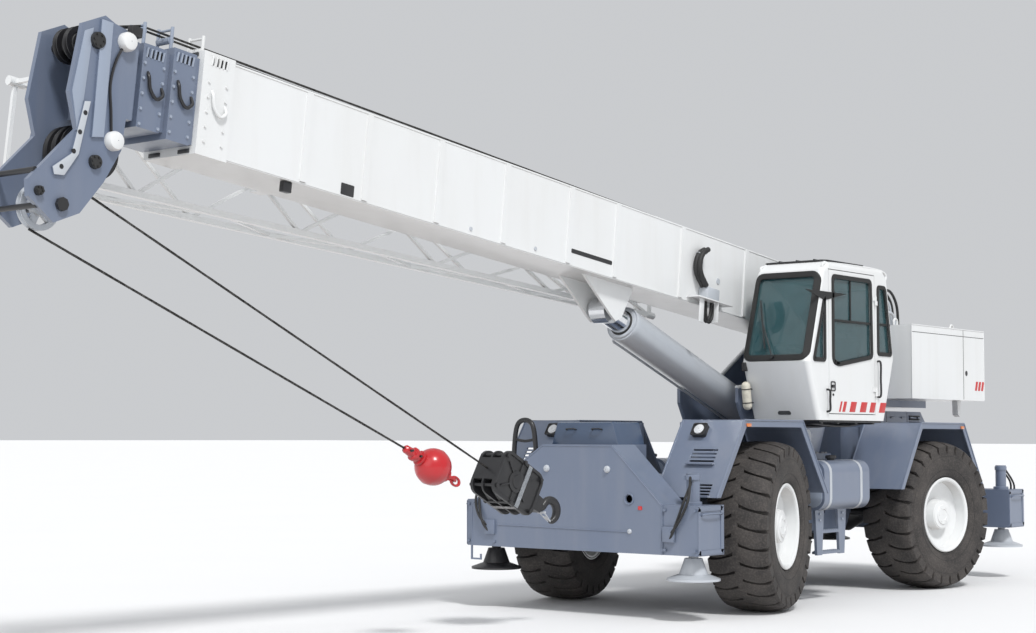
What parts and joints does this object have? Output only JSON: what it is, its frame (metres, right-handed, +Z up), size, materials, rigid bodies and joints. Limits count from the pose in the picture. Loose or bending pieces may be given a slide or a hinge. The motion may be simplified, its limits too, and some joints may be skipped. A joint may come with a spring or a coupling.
{
  "type": "rough-terrain mobile crane",
  "caption": "Two-axle rough-terrain mobile crane: carrier with steered wheels and slide-out outriggers, slewing upper works with side cab, luffing telescopic boom and stowed lattice jib.",
  "frame": {"origin": "centre of the bounding box at ground level", "axes": "+X towards the front (the way the boom points), +Y to the cab side, +Z up"},
  "size_m": [13.5844, 3.0764, 4.5175],
  "materials": {
    "white_paint": "gloss",
    "grey_paint": "gloss",
    "silver_paint": "satin",
    "black_paint": "satin",
    "red_paint": "gloss",
    "rod_chrome": "polished",
    "machine_steel": "satin",
    "wire_rope": "satin",
    "tyre_rubber": "matte",
    "seat_cloth": "matte",
    "tinted_glass": "gloss"
  },
  "bodies": {
    "carrier": {"axle_front": "grey_paint", "axle_rear": "grey_paint", "chassis": "grey_paint", "engine": "machine_steel", "engine_hood": "grey_paint", "fenders_front": "grey_paint", "fenders_rear": "grey_paint", "front_deck": "grey_paint", "ladder": "grey_paint", "outrigger_box_front": "grey_paint", "outrigger_box_rear": "grey_paint", "side_tanks": "grey_paint", "slew_ring": "machine_steel"},
    "superstructure": {"cab_glass": "tinted_glass", "cab_mount": "grey_paint", "cab_shell": "white_paint", "counterweight": "white_paint", "operator_seat": "seat_cloth", "turntable": "grey_paint", "winches": "black_paint"},
    "cab_door": {"cab_door": "white_paint", "door_glass": "tinted_glass"},
    "boom_base": {"boom_base": "white_paint", "jib": "white_paint"},
    "boom_section_2": {"boom_section_2": "grey_paint"},
    "boom_section_3": {"boom_section_3": "grey_paint"},
    "boom_tip": {"boom_head": "grey_paint", "boom_section_4": "grey_paint", "head_sheaves": "black_paint", "headache_ball": "red_paint", "hook_block": "black_paint", "load_hook": "black_paint", "ropes": "wire_rope"},
    "lift_barrel": {"lift_barrel": "silver_paint"},
    "lift_rod": {"lift_rod": "rod_chrome"},
    "knuckle_front_left": {"knuckle_front_left": "grey_paint"},
    "wheel_front_left": {"rim_front_left": "white_paint", "tyre_front_left": "tyre_rubber"},
    "beam_front_left": {"outrigger_beam_front_left": "grey_paint"},
    "jack_front_left": {"outrigger_jack_front_left": "grey_paint"},
    "knuckle_front_right": {"knuckle_front_right": "grey_paint"},
    "wheel_front_right": {"rim_front_right": "white_paint", "tyre_front_right": "tyre_rubber"},
    "beam_front_right": {"outrigger_beam_front_right": "grey_paint"},
    "jack_front_right": {"outrigger_jack_front_right": "grey_paint"},
    "knuckle_rear_left": {"knuckle_rear_left": "grey_paint"},
    "wheel_rear_left": {"rim_rear_left": "white_paint", "tyre_rear_left": "tyre_rubber"},
    "beam_rear_left": {"outrigger_beam_rear_left": "grey_paint"},
    "jack_rear_left": {"outrigger_jack_rear_left": "grey_paint"},
    "knuckle_rear_right": {"knuckle_rear_right": "grey_paint"},
    "wheel_rear_right": {"rim_rear_right": "white_paint", "tyre_rear_right": "tyre_rubber"},
    "beam_rear_right": {"outrigger_beam_rear_right": "grey_paint"},
    "jack_rear_right": {"outrigger_jack_rear_right": "grey_paint"}
  },
  "joints": [
    {"name": "swing", "type": "hinge", "parent": "carrier", "child": "superstructure", "pos_m": [-2.776, 0, 1.421], "axis": [0, 0, 1], "continuous": true},
    {"name": "luff", "type": "hinge", "parent": "superstructure", "child": "boom_base", "pos_m": [-4.376, 0, 2.921], "axis": [0, -1, 0], "range_deg": [-6.1, 69.9]},
    {"name": "telescope_1", "type": "slide", "parent": "boom_base", "child": "boom_section_2", "axis": [0.9943, 0, 0.1069], "range_m": [0, 7.2]},
    {"name": "telescope_2", "type": "slide", "parent": "boom_section_2", "child": "boom_section_3", "axis": [0.9943, 0, 0.1069], "range_m": [0, 7.2]},
    {"name": "telescope_3", "type": "slide", "parent": "boom_section_3", "child": "boom_tip", "axis": [0.9943, 0, 0.1069], "range_m": [0, 7.2]},
    {"name": "lift_foot", "type": "hinge", "parent": "superstructure", "child": "lift_barrel", "pos_m": [-3.226, 0, 1.671], "axis": [0, -1, 0], "range_deg": [-5.8, 66.2]},
    {"name": "lift_stroke", "type": "slide", "parent": "lift_barrel", "child": "lift_rod", "axis": [0.94, 0, 0.3413], "range_m": [-0.19, 2.16]},
    {"name": "steer_front_left", "type": "hinge", "parent": "carrier", "child": "knuckle_front_left", "pos_m": [-0.95, 0.845, 0.806], "axis": [0, 0, 1], "range_deg": [-37.6, 10.4]},
    {"name": "spin_front_left", "type": "hinge", "parent": "knuckle_front_left", "child": "wheel_front_left", "pos_m": [-1.00996, 1.09285, 0.806], "axis": [-0.2351, 0.972, 0], "continuous": true},
    {"name": "steer_front_right", "type": "hinge", "parent": "carrier", "child": "knuckle_front_right", "pos_m": [-0.95, -0.845, 0.806], "axis": [0, 0, 1], "range_deg": [-37.6, 10.4]},
    {"name": "spin_front_right", "type": "hinge", "parent": "knuckle_front_right", "child": "wheel_front_right", "pos_m": [-0.89004, -1.09285, 0.806], "axis": [-0.2351, 0.972, 0], "continuous": true},
    {"name": "steer_rear_left", "type": "hinge", "parent": "carrier", "child": "knuckle_rear_left", "pos_m": [-4.592, 0.845, 0.806], "axis": [0, 0, 1], "range_deg": [-14.4, 33.6]},
    {"name": "spin_rear_left", "type": "hinge", "parent": "knuckle_rear_left", "child": "wheel_rear_left", "pos_m": [-4.54947, 1.09643, 0.806], "axis": [0.1668, 0.986, 0], "continuous": true},
    {"name": "steer_rear_right", "type": "hinge", "parent": "carrier", "child": "knuckle_rear_right", "pos_m": [-4.592, -0.845, 0.806], "axis": [0, 0, 1], "range_deg": [-14.4, 33.6]},
    {"name": "spin_rear_right", "type": "hinge", "parent": "knuckle_rear_right", "child": "wheel_rear_right", "pos_m": [-4.63453, -1.09643, 0.806], "axis": [0.1668, 0.986, 0], "continuous": true},
    {"name": "door", "type": "hinge", "parent": "superstructure", "child": "cab_door", "pos_m": [-3.076, 1.263, 2.596], "axis": [0, 0, 1], "range_deg": [0, 95]},
    {"name": "beam_front_left_slide", "type": "slide", "parent": "carrier", "child": "beam_front_left", "axis": [0, 1, 0], "range_m": [0, 1.45]},
    {"name": "jack_front_left_slide", "type": "slide", "parent": "beam_front_left", "child": "jack_front_left", "axis": [0, 0, -1], "range_m": [0, 0.55]},
    {"name": "beam_front_right_slide", "type": "slide", "parent": "carrier", "child": "beam_front_right", "axis": [0, -1, 0], "range_m": [0, 1.45]},
    {"name": "jack_front_right_slide", "type": "slide", "parent": "beam_front_right", "child": "jack_front_right", "axis": [0, 0, -1], "range_m": [0, 0.55]},
    {"name": "beam_rear_left_slide", "type": "slide", "parent": "carrier", "child": "beam_rear_left", "axis": [0, 1, 0], "range_m": [0, 1.45]},
    {"name": "jack_rear_left_slide", "type": "slide", "parent": "beam_rear_left", "child": "jack_rear_left", "axis": [0, 0, -1], "range_m": [0, 0.55]},
    {"name": "beam_rear_right_slide", "type": "slide", "parent": "carrier", "child": "beam_rear_right", "axis": [0, -1, 0], "range_m": [0, 1.45]},
    {"name": "jack_rear_right_slide", "type": "slide", "parent": "beam_rear_right", "child": "jack_rear_right", "axis": [0, 0, -1], "range_m": [0, 0.55]}
  ],
  "couplings": [
    {"joint": "telescope_2", "follows": "telescope_1", "ratio": 1},
    {"joint": "telescope_3", "follows": "telescope_1", "ratio": 1},
    {"joint": "lift_foot", "follows": "luff", "ratio": 0.9458},
    {"joint": "lift_stroke", "follows": "luff", "m_per_rad": 1.7656},
    {"joint": "steer_front_right", "follows": "steer_front_left", "ratio": 1},
    {"joint": "steer_rear_right", "follows": "steer_rear_left", "ratio": 1}
  ]
}
